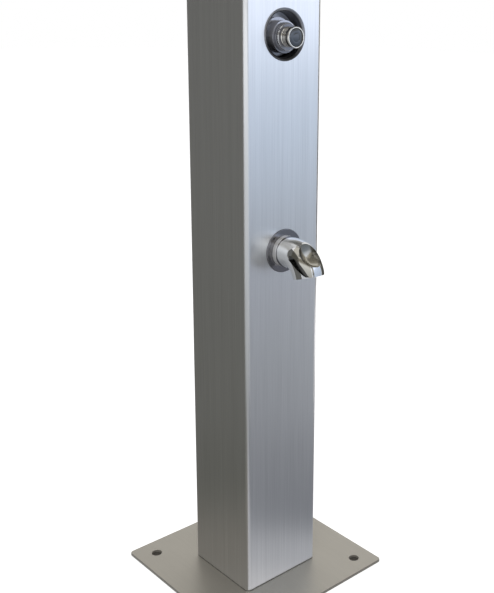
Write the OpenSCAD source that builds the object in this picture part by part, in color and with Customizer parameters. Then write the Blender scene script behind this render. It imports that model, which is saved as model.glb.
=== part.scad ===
// Outdoor foot shower: a square steel column with a push-button valve and a low spout.
// The origin is on the ground under the middle of the column. The front face looks along -Y.

/* [Post] */
// Height of the whole column above the ground
total_h = 1000; // [900:10:1300]
// Outer width of the square post
post_w = 120; // [114:1:140]
// Outer corner radius of the post
post_r = 7; // [5:0.5:12]
// Thickness of the sheet of the post
post_wall = 2; // [1.5:0.1:3]

/* [Base plate] */
// Width of the square base plate
plate_w = 255; // [245:5:320]
// Thickness of the base plate
plate_t = 4; // [3:0.5:8]
// Corner radius of the base plate
plate_r = 5; // [2:1:15]
// Distance from the middle of an anchor hole to the edges of the plate
anchor_inset = 27.5; // [22:0.5:32]
// Diameter of an anchor hole
anchor_d = 14; // [10:1:16]
// Diameter of the opening for the supply under the post
entry_d = 90; // [70:1:96]

/* [Push-button valve] */
// Height of the middle of the recess
recess_z = 735.5; // [700:0.5:780]
// Outer diameter of the rim of the recess
recess_d = 62.5; // [60:0.5:66]
// How far the valve sits below the middle of the recess
valve_drop = 2.6; // [0:0.2:3]
// Diameter of the valve body
valve_d = 38.5; // [36:0.5:40]
// Diameter of the moving cap
cap_d = 24; // [22:0.2:26]
// How far the cap stands out of its collar
cap_reach = 14.3; // [11:0.1:18]
// How far the cap travels
travel = 6; // [4:0.5:7]

/* [Spout] */
// Height of the middle of the spout
spout_z = 469.5; // [450:0.5:500]
// Diameter of the spout
spout_d = 40; // [36:0.5:42]
// Diameter of the disc behind the spout
flange_d = 56; // [50:1:62]
// Radius of the bend on the middle line of the spout
bend_r = 28; // [26:0.5:32]
// Angle by which the spout turns down
bend_angle = 75; // [65:1:80]
// Distance from the face of the post to where the bend starts
straight = 20; // [18:0.5:26]

/* [Service opening] */
// Height of the middle of the rear opening
hatch_z = 610; // [590:5:620]
// Height of the rear opening
hatch_h = 340; // [320:5:360]
// Width of the rear opening
hatch_w = 76; // [70:1:80]

/* [Hidden] */
$fn = 72;
eps = 1;

// Clearances
seat_gap = 0.05;
run_gap = 0.1;
soft_gap = 0.3;

// Post and lid
inner_w = post_w - 2 * post_wall;
inner_r = post_r - post_wall;
face_y = -post_w / 2;
lid_t = 2;
skirt_t = 2;
skirt_h = 12;
post_top = total_h - lid_t;

// Service opening, its cover and fasteners
hatch_r = 10;
cover_margin = 12;
cover_w = hatch_w + 2 * cover_margin;
cover_h = hatch_h + 2 * cover_margin;
cover_r = 14;
cover_t = 1.5;
gasket_t = 1;
screw_d = 5;
screw_hole_d = 5.5;
screw_head_d = 9.5;
screw_head_h = 2.8;
screw_reach = 11;
socket_d = 3.4;
socket_depth = 1.6;
rivet_d = 7;
rivet_flange_d = 8;
rivet_flange_t = 0.8;
rivet_length = 9;
screw_x = hatch_w / 2 + cover_margin / 2;
screw_rows = [-1, 0, 1];
screw_row_pitch = cover_h / 2 - 2 * cover_margin;

// Recess cup
rim_t = 1.2;
rim_round = 0.8;
cup_d = 57;
cup_wall = 1.3;
cup_depth = 18;
cup_floor_t = 1.5;
cup_nut_d = 72;
cup_nut_t = 5;

// Valve body, measured inward from the face of the post
valve_z = recess_z - valve_drop;
valve_r = valve_d / 2;
valve_length = 66;
valve_gasket_t = 1.5;
shoulder_d = 46;
shoulder_t = 3;
ring_nut_d = 45;
ring_nut_t = 5;
bonnet_thread_d = 31;
bonnet_thread_l = 8;
guide_end = 24;
chamber_d = 28;
seat_front = 44;
seat_t = 3;
seat_hole_d = 14;
port_depth = 35;
port_bore_d = 13;
half_inch_d = 20.9;
port_reach = 10;
rear_cap_t = 8;
rear_plug_l = 3;
rear_boss_l = 11;
rear_bore_d = 10;
cap_seal_t = 1;
spring_pocket_d = 17;
spring_pocket_l = 2;
rear_end = valve_length + rear_cap_t;

// Bonnet, collar and moving cap, measured outward from the face of the post
bonnet_flange_d = 34;
bonnet_flange_t = 3;
bonnet_boss_d = 28.4;
bonnet_boss_l = 3;
spigot_d = 20.2;
collar_d = 32;
collar_lip_t = 0.7;
collar_front = bonnet_flange_t + bonnet_boss_l + collar_lip_t;
knurl_count = 40;
knurl_d = 1.2;
stem_d = 8;
cap_front = collar_front + cap_reach;
cap_back = collar_front - collar_lip_t - bonnet_boss_l / 2;
cap_lip_d = cap_d + 1.2;
cap_lip_t = 3;
cap_lip_bevel = 0.8;
cap_front_t = 2.4;
cap_neck_d = cap_d - 0.4;
disc_d = 21.4;
disc_t = 3.4;
cap_inner_front = cap_front - disc_t - cap_front_t;
spigot_end = cap_inner_front - travel - soft_gap;
well_floor = cap_back - travel - soft_gap;
disc_dome = 1.6;
stem_spigot_d = 6;
stem_neck_d = 6;

// Piston and spring, measured inward from the face of the post
piston_front = seat_front + seat_t;
piston_seal_t = 2.5;
piston_seal_d = 21;
piston_d = 24;
piston_t = 3;
piston_boss_d = 10;
piston_boss_l = 2;
spring_mean_d = 13;
spring_wire_d = 1.2;
spring_turns = 4;
spring_sides = 6;
spring_rings = 8;
spring_front = piston_front + piston_seal_t + piston_t;
spring_back = valve_length - rear_plug_l + spring_pocket_l;
stem_seal_d = 12;
stem_seal_t = 2;

// Pipes and nuts
pipe_d = 15;
pipe_wall = 1;
nut_af = 24;
nut_h = 13;
nut_chamfer = 1;
elbow_gap = 1;
elbow_socket_d = 28;
elbow_socket_l = 15;
elbow_leg = 30;
elbow_bore_d = 13;
elbow_side_bore_d = 12;
supply_y = face_y + rear_end + elbow_gap + elbow_socket_l;
thread_l = 10;

// Stop valve, measured from its middle
stop_z = 560;
stop_body_d = 28;
stop_half = 22;
ball_d = 18.4;
ball_bore_d = 12;
ball_chamber_d = 20.6;
ball_chamber_half = 11;
seat_ring_front = 6.6;
ball_clear = 0.1;
stop_neck_d = 14;
stop_neck_end = 17;
stop_stem_d = 7;
stop_stem_start = 5.5;
stop_stem_end = 24;
lever_l = 42;
lever_w = 12;
lever_t = 2.5;
lever_start = 17.5;
lever_hole_d = 7;
lever_slot_w = 5;
lever_nut_af = 10;
end_plug_l = 11;
end_head_t = 6;

// Supply line below the stop valve
fitting_z = 8;
fitting_thread_l = 14;
fitting_hex_t = 10;
clip_heights = [120, 320];
clip_ring_d = 20;
clip_h = 12;
clip_foot_w = 36;
clip_foot_h = 20;
clip_foot_t = 3;
clip_stud_d = 8;

// Spout, measured outward from the face of the post
spout_r = spout_d / 2;
flange_t = 1.5;
flange_bevel = 0.8;
joint_at = 7.5;
joint_gap = 0.35;
spigot_out = 6;
spout_spigot_d = 33;
tail_l = 24;
tail_bore_d = 14;
tail_wall_hole_d = 21.5;
mouth_l = 3;
mouth_step = 0.3;
mouth_bore_d = 19;
mouth_bore_l = 6;
insert_t = 3;
jet_d = 2.6;
jet_ring_d = 11;
jet_count = 6;
spout_seal_t = 2;
grub_d = 5;
grub_at = 11;
grub_key_d = 2.9;
grub_key_depth = 2.2;
washer_d = 32;
washer_t = 1.5;
locknut_af = 27;
locknut_t = 7;
spout_elbow_depth = port_depth;
spout_elbow_socket_front = 12;
spout_elbow_leg = 26;

// Scoop in the front of the spout and the rails beside it
scoop_r = 25.4;
rail_half = 14.2;
scoop_angle = 44;
// Middle of the scoop's round, from the middle of the bend, so that its edges lie at rail_half
rail_level = bend_r + sqrt(spout_r * spout_r - rail_half * rail_half);
scoop_centre = rail_level + sqrt(scoop_r * scoop_r - rail_half * rail_half);
// Side pockets under the rails
pocket_half = 12;
pocket_start = 33;
pocket_arc_out = 23.5;
pocket_arc_drop = 38.8;
pocket_arc_r = 43.6;
pocket_low = 2;
pocket_lip_out = 59.4;
pocket_lip_low = 18.9;
pocket_far = 80;

// Frames
// Children stand on the front face of the post at height z, with +Z outward and +Y up
module on_face(z) {
    translate([0, face_y, z])
        rotate([90, 0, 0])
            children();
}

// Children stand upright on the axis of the supply line
module on_supply(z) {
    translate([0, supply_y, z])
        children();
}

// Children stand upright on the axis of the delivery line
module on_delivery(z) {
    translate([0, face_y + port_depth, z])
        children();
}

// Shapes
module tube(outer_d, inner_d, h) {
    difference() {
        cylinder(d = outer_d, h = h);
        translate([0, 0, -eps])
            cylinder(d = inner_d, h = h + 2 * eps);
    }
}

module rounded_rect(w, h, r) {
    square([w, h - 2 * r], center = true);
    square([w - 2 * r, h], center = true);
    for (sx = [-1, 1], sy = [-1, 1])
        translate([sx * (w / 2 - r), sy * (h / 2 - r)])
            circle(r);
}

module square_ring(w, r, wall) {
    difference() {
        rounded_rect(w, w, r);
        rounded_rect(w - 2 * wall, w - 2 * wall, max(r - wall, wall / 4));
    }
}

module hex_prism(af, h) {
    cylinder(d = af / cos(30), h = h, $fn = 6);
}

// A hexagon whose corners are turned off at both ends
module hex_nut(af, h, bore_d) {
    across = af / cos(30);
    difference() {
        intersection() {
            hex_prism(af, h);
            rotate_extrude()
                polygon([[0, 0], [af / 2, 0], [across / 2, nut_chamfer], [across / 2, h - nut_chamfer],
                    [af / 2, h], [0, h]]);
        }
        translate([0, 0, -eps])
            cylinder(d = bore_d, h = h + 2 * eps);
    }
}

// Turns a plan drawn as [outward, up] into a slab across the spout
module side_slab(w) {
    rotate([0, -90, 0])
        linear_extrude(w, center = true)
            children();
}

// Sweeps a profile drawn as [distance from the middle of the bend, sideways] between two angles
module bend_sweep(from, to) {
    translate([0, -bend_r, straight])
        rotate([90, 0, 90])
            rotate([0, 0, from])
                rotate_extrude(angle = to - from)
                    children();
}

// Column
module base_plate() {
    color("darkgray")
        linear_extrude(plate_t)
            difference() {
                rounded_rect(plate_w, plate_w, plate_r);
                circle(d = entry_d);
                for (sx = [-1, 1], sy = [-1, 1])
                    translate([sx * (plate_w / 2 - anchor_inset), sy * (plate_w / 2 - anchor_inset)])
                        circle(d = anchor_d);
            }
}

module post() {
    color("silver")
        difference() {
            translate([0, 0, plate_t])
                linear_extrude(post_top - plate_t)
                    square_ring(post_w, post_r, post_wall);
            on_face(recess_z)
                translate([0, 0, -post_wall - eps])
                    cylinder(d = cup_d + 2 * seat_gap, h = post_wall + 2 * eps);
            on_face(spout_z)
                translate([0, 0, -post_wall - eps])
                    cylinder(d = tail_wall_hole_d, h = post_wall + 2 * eps);
            translate([0, post_w / 2 - post_wall - eps, hatch_z])
                rotate([-90, 0, 0])
                    linear_extrude(post_wall + 2 * eps)
                        rounded_rect(hatch_w, hatch_h, hatch_r);
            at_screws()
                translate([0, 0, -post_wall - eps])
                    cylinder(d = rivet_d + 2 * seat_gap, h = post_wall + 2 * eps);
        }
}

module top_cap() {
    color("silver") {
        translate([0, 0, post_top])
            linear_extrude(lid_t)
                rounded_rect(post_w, post_w, post_r);
        translate([0, 0, post_top - skirt_h])
            linear_extrude(skirt_h)
                square_ring(inner_w - 2 * soft_gap, inner_r - soft_gap, skirt_t);
    }
}

// Children stand on the rear face at each screw, with +Z outward
module at_screws() {
    for (sx = [-1, 1], row = screw_rows)
        translate([sx * screw_x, post_w / 2, hatch_z + row * screw_row_pitch])
            rotate([-90, 0, 0])
                children();
}

module rear_panel(start, t, opening) {
    difference() {
        translate([0, post_w / 2 + start, hatch_z])
            rotate([-90, 0, 0])
                linear_extrude(t)
                    difference() {
                        rounded_rect(cover_w, cover_h, cover_r);
                        if (opening)
                            rounded_rect(hatch_w, hatch_h, hatch_r);
                    }
        at_screws()
            translate([0, 0, start - eps])
                cylinder(d = opening ? rivet_flange_d + 2 * soft_gap : screw_hole_d, h = t + 2 * eps);
    }
}

module cover_gasket() {
    color("dimgray")
        rear_panel(0, gasket_t, true);
}

module rear_cover() {
    color("silver")
        rear_panel(gasket_t, cover_t, false);
}

module rivet_nuts() {
    color("gray")
        at_screws() {
            tube(rivet_flange_d, screw_d + 2 * seat_gap, rivet_flange_t);
            translate([0, 0, -rivet_length])
                tube(rivet_d, screw_d + 2 * seat_gap, rivet_length);
        }
}

module cover_screws() {
    head_seat = gasket_t + cover_t;
    color("lightgray")
        at_screws()
            difference() {
                rotate_extrude()
                    polygon([[0, head_seat - screw_reach], [screw_d / 2, head_seat - screw_reach],
                        [screw_d / 2, head_seat], [screw_head_d / 2, head_seat],
                        [screw_head_d / 2, head_seat + screw_head_h / 3],
                        [screw_head_d / 3, head_seat + screw_head_h * 0.85],
                        [screw_head_d / 5, head_seat + screw_head_h], [0, head_seat + screw_head_h]]);
                translate([0, 0, head_seat + screw_head_h - socket_depth])
                    cylinder(d = socket_d, h = socket_depth + eps, $fn = 6);
            }
}

// Recess
module recess_cup() {
    outer_r = cup_d / 2;
    bore_r = outer_r - cup_wall;
    rim_r = recess_d / 2;
    color("lightgray")
        on_face(recess_z)
            difference() {
                rotate_extrude()
                    polygon([[0, -cup_depth - cup_floor_t], [outer_r, -cup_depth - cup_floor_t],
                        [outer_r, 0], [rim_r, 0], [rim_r, rim_t - rim_round],
                        [rim_r - rim_round, rim_t], [bore_r + rim_round, rim_t],
                        [bore_r, rim_t - rim_round], [bore_r, -cup_depth], [0, -cup_depth]]);
                translate([0, -valve_drop, -cup_depth - cup_floor_t - eps])
                    cylinder(d = valve_d + 2 * seat_gap, h = cup_floor_t + 2 * eps);
            }
}

module cup_locknut() {
    color("goldenrod")
        on_face(recess_z)
            translate([0, 0, -post_wall - cup_nut_t])
                tube(cup_nut_d, cup_d + 2 * seat_gap, cup_nut_t);
}

// Valve
module valve_body() {
    shoulder_front = cup_depth + cup_floor_t + valve_gasket_t;
    color("lightgray")
        on_face(valve_z)
            difference() {
                union() {
                    translate([0, 0, -valve_length])
                        cylinder(d = valve_d, h = valve_length);
                    translate([0, 0, -shoulder_front - shoulder_t])
                        cylinder(d = shoulder_d, h = shoulder_t);
                    translate([0, 0, -port_depth])
                        rotate([90, 0, 0])
                            cylinder(d = half_inch_d, h = shoulder_d / 2 + port_reach);
                }
                translate([0, 0, -bonnet_thread_l])
                    cylinder(d = bonnet_thread_d + 2 * seat_gap, h = bonnet_thread_l + eps);
                translate([0, 0, -seat_front])
                    cylinder(d = seat_hole_d, h = seat_front);
                translate([0, 0, -seat_front])
                    cylinder(d = chamber_d, h = seat_front - guide_end);
                translate([0, 0, -valve_length - eps])
                    cylinder(d = chamber_d, h = valve_length - seat_front - seat_t + eps);
                translate([0, 0, -seat_front - seat_t - eps])
                    cylinder(d = seat_hole_d, h = seat_t + 2 * eps);
                translate([0, 0, -port_depth])
                    rotate([90, 0, 0])
                        cylinder(d = port_bore_d, h = shoulder_d / 2 + port_reach + eps);
            }
}

module valve_ring_nut() {
    color("gray")
        on_face(valve_z)
            translate([0, 0, -cup_depth])
                tube(ring_nut_d, valve_d + 2 * seat_gap, ring_nut_t);
}

module valve_gasket() {
    color("black")
        on_face(valve_z)
            translate([0, 0, -cup_depth - cup_floor_t - valve_gasket_t])
                tube(shoulder_d, valve_d + 2 * seat_gap, valve_gasket_t);
}

// Screws into the front of the valve body, guides the stem and carries the cap in its well
module bonnet() {
    bore_r = stem_d / 2 + run_gap;
    thread_r = bonnet_thread_d / 2;
    flange_r = bonnet_flange_d / 2;
    boss_r = bonnet_boss_d / 2;
    boss_end = bonnet_flange_t + bonnet_boss_l;
    well_r = cap_d / 2 + soft_gap;
    color("lightgray")
        on_face(valve_z)
            difference() {
                rotate_extrude()
                    polygon([[bore_r, -bonnet_thread_l], [thread_r, -bonnet_thread_l], [thread_r, 0],
                        [flange_r, 0], [flange_r, bonnet_flange_t], [boss_r, bonnet_flange_t],
                        [boss_r, boss_end], [well_r, boss_end], [well_r, well_floor],
                        [spigot_d / 2, well_floor], [spigot_d / 2, spigot_end], [bore_r, spigot_end]]);
                translate([0, 0, -bonnet_thread_l / 2])
                    cylinder(d = stem_seal_d + 2 * seat_gap, h = stem_seal_t);
            }
}

module knurled_collar() {
    color("silver")
        on_face(valve_z) {
            translate([0, 0, bonnet_flange_t])
                linear_extrude(bonnet_boss_l)
                    difference() {
                        circle(d = collar_d);
                        circle(d = bonnet_boss_d + 2 * seat_gap);
                        for (i = [0:knurl_count - 1])
                            rotate(i * 360 / knurl_count)
                                translate([collar_d / 2, 0])
                                    circle(d = knurl_d, $fn = 4);
                    }
            translate([0, 0, bonnet_flange_t + bonnet_boss_l])
                tube(collar_d - knurl_d / 2, cap_d + 2 * run_gap, collar_lip_t);
        }
}

// The moving cap: a shell that runs on the bonnet's spigot, with a lipped front
module push_button() {
    lip_r = cap_lip_d / 2;
    body_r = cap_d / 2;
    color("gainsboro")
        on_face(valve_z)
            difference() {
                rotate_extrude()
                    polygon([[0, cap_back], [body_r, cap_back], [body_r, collar_front],
                        [cap_neck_d / 2, collar_front + cap_lip_bevel],
                        [cap_neck_d / 2, cap_front - cap_lip_t - cap_lip_bevel],
                        [lip_r, cap_front - cap_lip_t], [lip_r, cap_front - cap_lip_bevel],
                        [lip_r - cap_lip_bevel, cap_front], [0, cap_front]]);
                translate([0, 0, cap_front - disc_t])
                    cylinder(d = disc_d + 2 * seat_gap, h = disc_t + eps);
                translate([0, 0, cap_back - eps])
                    cylinder(d = spigot_d + 2 * run_gap, h = cap_inner_front - cap_back + eps);
                translate([0, 0, cap_inner_front - eps])
                    cylinder(d = stem_spigot_d + 2 * seat_gap, h = cap_front_t + 2 * eps);
            }
}

module button_disc() {
    disc_r = disc_d / 2;
    disc_back = cap_front - disc_t;
    color("slategray")
        on_face(valve_z)
            rotate_extrude()
                polygon([[0, disc_back], [disc_r, disc_back], [disc_r, cap_front - disc_dome],
                    [disc_r - disc_dome / 3, cap_front - disc_dome / 3],
                    [disc_r - disc_dome, cap_front + disc_dome / 4],
                    [disc_r * 0.75, cap_front + disc_dome / 2], [0, cap_front + disc_dome / 2]]);
}

module button_stem() {
    neck_back = spring_front;
    shoulder = cap_inner_front;
    color("silver")
        on_face(valve_z)
            rotate_extrude()
                polygon([[0, -neck_back], [stem_neck_d / 2, -neck_back], [stem_neck_d / 2, -piston_front],
                    [stem_d / 2, -piston_front], [stem_d / 2, shoulder], [stem_spigot_d / 2, shoulder],
                    [stem_spigot_d / 2, shoulder + cap_front_t], [0, shoulder + cap_front_t]]);
}

module stem_seal() {
    section_r = stem_seal_t / 2;
    color("black")
        on_face(valve_z)
            translate([0, 0, -bonnet_thread_l / 2 + section_r])
                rotate_extrude()
                    translate([(stem_seal_d - stem_seal_t) / 2, 0])
                        circle(section_r - seat_gap, $fn = 24);
}

module piston_seal() {
    color("black")
        on_face(valve_z)
            translate([0, 0, -piston_front - piston_seal_t])
                tube(piston_seal_d, stem_neck_d + 2 * seat_gap, piston_seal_t);
}

module piston() {
    color("goldenrod")
        on_face(valve_z)
            difference() {
                union() {
                    translate([0, 0, -spring_front])
                        cylinder(d = piston_d, h = piston_t);
                    translate([0, 0, -spring_front - piston_boss_l])
                        cylinder(d = piston_boss_d, h = piston_boss_l);
                }
                translate([0, 0, -spring_front])
                    cylinder(d = stem_neck_d + 2 * seat_gap, h = piston_t + eps);
            }
}

// Helical return spring: one tube whose rings follow the helix
function spring_point(t) = [spring_mean_d / 2 * cos(360 * spring_turns * t),
    spring_mean_d / 2 * sin(360 * spring_turns * t),
    spring_wire_d / 2 + t * (spring_back - spring_front - spring_wire_d)];
function spring_ring(t) = [for (k = [0:spring_sides - 1])
    let (a = 360 * spring_turns * t, b = 360 * k / spring_sides)
        spring_point(t) + spring_wire_d / 2 * (cos(b) * [cos(a), sin(a), 0] + sin(b) * [0, 0, 1])];
spring_steps = spring_turns * spring_rings;
spring_pitch = (spring_back - spring_front - spring_wire_d) / spring_turns;
echo(least_gap_between_spring_curls = spring_pitch - spring_wire_d);

module return_spring() {
    points = [for (i = [0:spring_steps]) each spring_ring(i / spring_steps)];
    sides = [for (i = [0:spring_steps - 1], k = [0:spring_sides - 1])
        let (a = i * spring_sides + k, b = i * spring_sides + (k + 1) % spring_sides)
            each [[a, a + spring_sides, b], [b, a + spring_sides, b + spring_sides]]];
    last = spring_steps * spring_sides;
    ends = [for (k = [1:spring_sides - 2]) each [[0, k, k + 1], [last, last + k + 1, last + k]]];
    color("silver")
        on_face(valve_z)
            translate([0, 0, -spring_back])
                polyhedron(points, concat(sides, ends));
}

module valve_rear_cap() {
    plug_r = chamber_d / 2 - seat_gap;
    plug_front = valve_length - rear_plug_l;
    color("lightgray")
        on_face(valve_z)
            difference() {
                rotate_extrude()
                    polygon([[0, -rear_end - rear_boss_l], [half_inch_d / 2, -rear_end - rear_boss_l],
                        [half_inch_d / 2, -rear_end], [valve_r, -rear_end],
                        [valve_r, -valve_length - cap_seal_t], [plug_r, -valve_length - cap_seal_t],
                        [plug_r, -plug_front], [0, -plug_front]]);
                translate([0, 0, -plug_front - spring_pocket_l])
                    cylinder(d = spring_pocket_d, h = spring_pocket_l + eps);
                translate([0, 0, -rear_end - rear_boss_l - eps])
                    cylinder(d = rear_bore_d, h = rear_end + rear_boss_l - plug_front + 2 * eps);
            }
}

module cap_seal() {
    color("black")
        on_face(valve_z)
            translate([0, 0, -valve_length - cap_seal_t])
                tube(valve_d, chamber_d, cap_seal_t);
}

// Supply side
module inlet_elbow() {
    socket_back = supply_y - face_y;
    color("goldenrod")
        difference() {
            union() {
                on_face(valve_z) {
                    translate([0, 0, -socket_back])
                        cylinder(d = elbow_socket_d, h = elbow_socket_l);
                    translate([0, 0, -socket_back])
                        sphere(d = elbow_socket_d);
                }
                on_supply(valve_z - elbow_leg)
                    cylinder(d = half_inch_d, h = elbow_leg);
            }
            on_face(valve_z) {
                translate([0, 0, -socket_back + elbow_socket_l - rear_boss_l])
                    cylinder(d = half_inch_d + 2 * seat_gap, h = rear_boss_l + eps);
                translate([0, 0, -socket_back])
                    cylinder(d = elbow_side_bore_d, h = elbow_socket_l);
            }
            on_supply(valve_z - elbow_leg - eps)
                cylinder(d = elbow_bore_d, h = elbow_leg + eps);
        }
}

hose_top = valve_z - elbow_leg - nut_chamfer;
hose_bottom = stop_z + stop_half + end_head_t + thread_l + nut_chamfer;
ferrule_d = 17;
ferrule_l = 18;
hose_d = 14;
hose_bore_d = 8;
hose_nut_over = 9;
hose_nut_lip = 3;

// Hose with its crimped ferrules
module supply_hose() {
    color("lightgray")
        on_supply(hose_bottom)
            difference() {
                union() {
                    cylinder(d = hose_d, h = hose_top - hose_bottom);
                    cylinder(d = ferrule_d, h = ferrule_l);
                    translate([0, 0, hose_top - hose_bottom - ferrule_l])
                        cylinder(d = ferrule_d, h = ferrule_l);
                }
                translate([0, 0, -eps])
                    cylinder(d = hose_bore_d, h = hose_top - hose_bottom + 2 * eps);
            }
}

// A swivel nut that grips a ferrule below z and a male thread above it
module swivel_nut() {
    difference() {
        translate([0, 0, -hose_nut_lip])
            hex_nut(nut_af, hose_nut_over + hose_nut_lip + nut_chamfer, ferrule_d + 2 * seat_gap);
        cylinder(d = half_inch_d + 2 * seat_gap, h = hose_nut_over + 2 * nut_chamfer);
    }
}

module hose_nuts() {
    color("lightgray") {
        on_supply(hose_top)
            swivel_nut();
        on_supply(hose_bottom)
            mirror([0, 0, 1])
                swivel_nut();
    }
}

// Children stand at the middle of the stop valve with +Z towards the rear of the column
module on_stop_stem() {
    on_supply(stop_z)
        rotate([-90, 0, 0])
            children();
}

module stop_valve_body() {
    color("lightgray")
        difference() {
            union() {
                on_supply(stop_z - stop_half)
                    cylinder(d = stop_body_d, h = 2 * stop_half);
                on_supply(stop_z - stop_half - thread_l)
                    cylinder(d = half_inch_d, h = thread_l);
                on_stop_stem()
                    cylinder(d = stop_neck_d, h = stop_neck_end);
            }
            on_supply(stop_z - stop_half - thread_l - eps)
                cylinder(d = ball_bore_d, h = stop_half + thread_l);
            on_supply(stop_z - ball_chamber_half)
                cylinder(d = ball_chamber_d, h = ball_chamber_half + stop_half + eps);
            on_stop_stem()
                cylinder(d = stop_stem_d + 2 * run_gap, h = stop_neck_end + eps);
        }
}

module stop_valve_end() {
    color("lightgray")
        difference() {
            union() {
                on_supply(stop_z + stop_half - end_plug_l)
                    cylinder(d = ball_chamber_d - 2 * seat_gap, h = end_plug_l);
                on_supply(stop_z + stop_half)
                    hex_prism(nut_af, end_head_t);
                on_supply(stop_z + stop_half + end_head_t)
                    cylinder(d = half_inch_d, h = thread_l);
            }
            on_supply(stop_z + stop_half - end_plug_l - eps)
                cylinder(d = ball_bore_d, h = end_plug_l + end_head_t + thread_l + 2 * eps);
        }
}

module ball_seats() {
    color("white")
        difference() {
            for (m = [0, 1])
                on_supply(stop_z)
                    mirror([0, 0, m])
                        translate([0, 0, seat_ring_front])
                            tube(ball_chamber_d - 2 * seat_gap, ball_bore_d,
                                ball_chamber_half - seat_ring_front);
            on_supply(stop_z)
                sphere(d = ball_d + 2 * ball_clear);
        }
}

module stop_ball() {
    color("silver")
        difference() {
            on_supply(stop_z)
                sphere(d = ball_d);
            on_supply(stop_z - ball_d)
                cylinder(d = ball_bore_d, h = 2 * ball_d);
            on_stop_stem()
                translate([0, 0, stop_stem_start])
                    cylinder(d = stop_stem_d + 2 * seat_gap, h = ball_d);
        }
}

module stop_stem() {
    flat = stop_stem_end - lever_start;
    color("goldenrod")
        on_stop_stem()
            difference() {
                translate([0, 0, stop_stem_start + run_gap])
                    cylinder(d = stop_stem_d, h = stop_stem_end - stop_stem_start - run_gap);
                for (s = [-1, 1])
                    translate([s * (lever_slot_w / 2 + stop_stem_d / 2), 0, lever_start + flat / 2])
                        cube([stop_stem_d, 2 * stop_stem_d, flat + seat_gap], center = true);
                on_ball_bore();
            }
}

// The way through the ball, cut from the foot of the stem too
module on_ball_bore() {
    rotate([90, 0, 0])
        cylinder(d = ball_bore_d, h = 2 * ball_d, center = true);
}

module stop_lever() {
    color("firebrick")
        on_stop_stem()
            translate([0, 0, lever_start])
                linear_extrude(lever_t)
                    difference() {
                        union() {
                            circle(d = 1.4 * lever_w);
                            translate([-lever_w / 2, 0])
                                square([lever_w, lever_l - lever_w / 2]);
                            translate([0, lever_l - lever_w / 2])
                                circle(d = lever_w);
                        }
                        intersection() {
                            circle(d = lever_hole_d + 2 * seat_gap);
                            square([lever_slot_w + 2 * seat_gap, 2 * lever_hole_d], center = true);
                        }
                    }
}

module lever_nut() {
    color("lightgray")
        on_stop_stem()
            translate([0, 0, lever_start + lever_t])
                difference() {
                    hex_prism(lever_nut_af, stop_stem_end - lever_start - lever_t);
                    intersection() {
                        translate([0, 0, -eps])
                            cylinder(d = stop_stem_d + 2 * seat_gap, h = stop_stem_end);
                        cube([lever_slot_w + 2 * seat_gap, 2 * stop_stem_d, 2 * stop_stem_end],
                            center = true);
                    }
                }
}

supply_top = stop_z - stop_half - thread_l;
fitting_top = fitting_z + fitting_thread_l + fitting_hex_t + thread_l;

module supply_pipe() {
    color("silver")
        on_supply(fitting_top)
            tube(pipe_d, pipe_d - 2 * pipe_wall, supply_top - fitting_top);
}

// A nut that grips the pipe above its own middle and the male thread below it
module pipe_nut() {
    difference() {
        translate([0, 0, -thread_l + nut_chamfer])
            hex_nut(nut_af, nut_h, pipe_d + 2 * seat_gap);
        translate([0, 0, -thread_l - eps])
            cylinder(d = half_inch_d + 2 * seat_gap, h = thread_l + eps);
    }
}

module supply_nuts() {
    color("goldenrod") {
        on_supply(fitting_top)
            pipe_nut();
        on_supply(supply_top)
            mirror([0, 0, 1])
                pipe_nut();
    }
}

module inlet_fitting() {
    color("goldenrod")
        on_supply(fitting_z)
            difference() {
                union() {
                    cylinder(d = half_inch_d, h = fitting_thread_l);
                    translate([0, 0, fitting_thread_l])
                        hex_prism(nut_af, fitting_hex_t);
                    translate([0, 0, fitting_thread_l + fitting_hex_t])
                        cylinder(d = half_inch_d, h = thread_l);
                }
                translate([0, 0, -eps])
                    cylinder(d = port_bore_d, h = fitting_thread_l + fitting_hex_t + thread_l + 2 * eps);
            }
}

// Clips welded to the inside of the rear wall hold the supply pipe
module pipe_clips() {
    wall_y = inner_w / 2;
    color("lightgray")
        for (z = clip_heights)
            difference() {
                union() {
                    on_supply(z - clip_h / 2)
                        cylinder(d = clip_ring_d, h = clip_h);
                    translate([0, supply_y, z])
                        rotate([-90, 0, 0])
                            cylinder(d = clip_stud_d, h = wall_y - supply_y);
                    translate([-clip_foot_w / 2, wall_y - clip_foot_t, z - clip_foot_h / 2])
                        cube([clip_foot_w, clip_foot_t, clip_foot_h]);
                }
                on_supply(z - clip_h / 2 - eps)
                    cylinder(d = pipe_d + 2 * seat_gap, h = clip_h + 2 * eps);
            }
}

// Delivery side
delivery_top = valve_z - shoulder_d / 2 - port_reach;
delivery_bottom = spout_z + spout_elbow_leg;

module delivery_pipe() {
    color("silver")
        on_delivery(delivery_bottom)
            tube(pipe_d, pipe_d - 2 * pipe_wall, delivery_top - delivery_bottom);
}

module delivery_nuts() {
    color("goldenrod") {
        on_delivery(delivery_bottom)
            pipe_nut();
        on_delivery(delivery_top)
            mirror([0, 0, 1])
                pipe_nut();
    }
}

module spout_elbow() {
    color("goldenrod")
        difference() {
            union() {
                on_face(spout_z) {
                    translate([0, 0, -spout_elbow_depth])
                        cylinder(d = elbow_socket_d, h = spout_elbow_depth - spout_elbow_socket_front);
                    translate([0, 0, -spout_elbow_depth])
                        sphere(d = elbow_socket_d);
                }
                on_delivery(spout_z)
                    cylinder(d = half_inch_d, h = spout_elbow_leg);
            }
            on_face(spout_z) {
                translate([0, 0, -tail_l - seat_gap])
                    cylinder(d = half_inch_d + 2 * seat_gap, h = tail_l);
                translate([0, 0, -spout_elbow_depth])
                    cylinder(d = elbow_side_bore_d, h = spout_elbow_depth);
            }
            on_delivery(spout_z)
                cylinder(d = elbow_bore_d, h = spout_elbow_leg + eps);
        }
}

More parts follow.
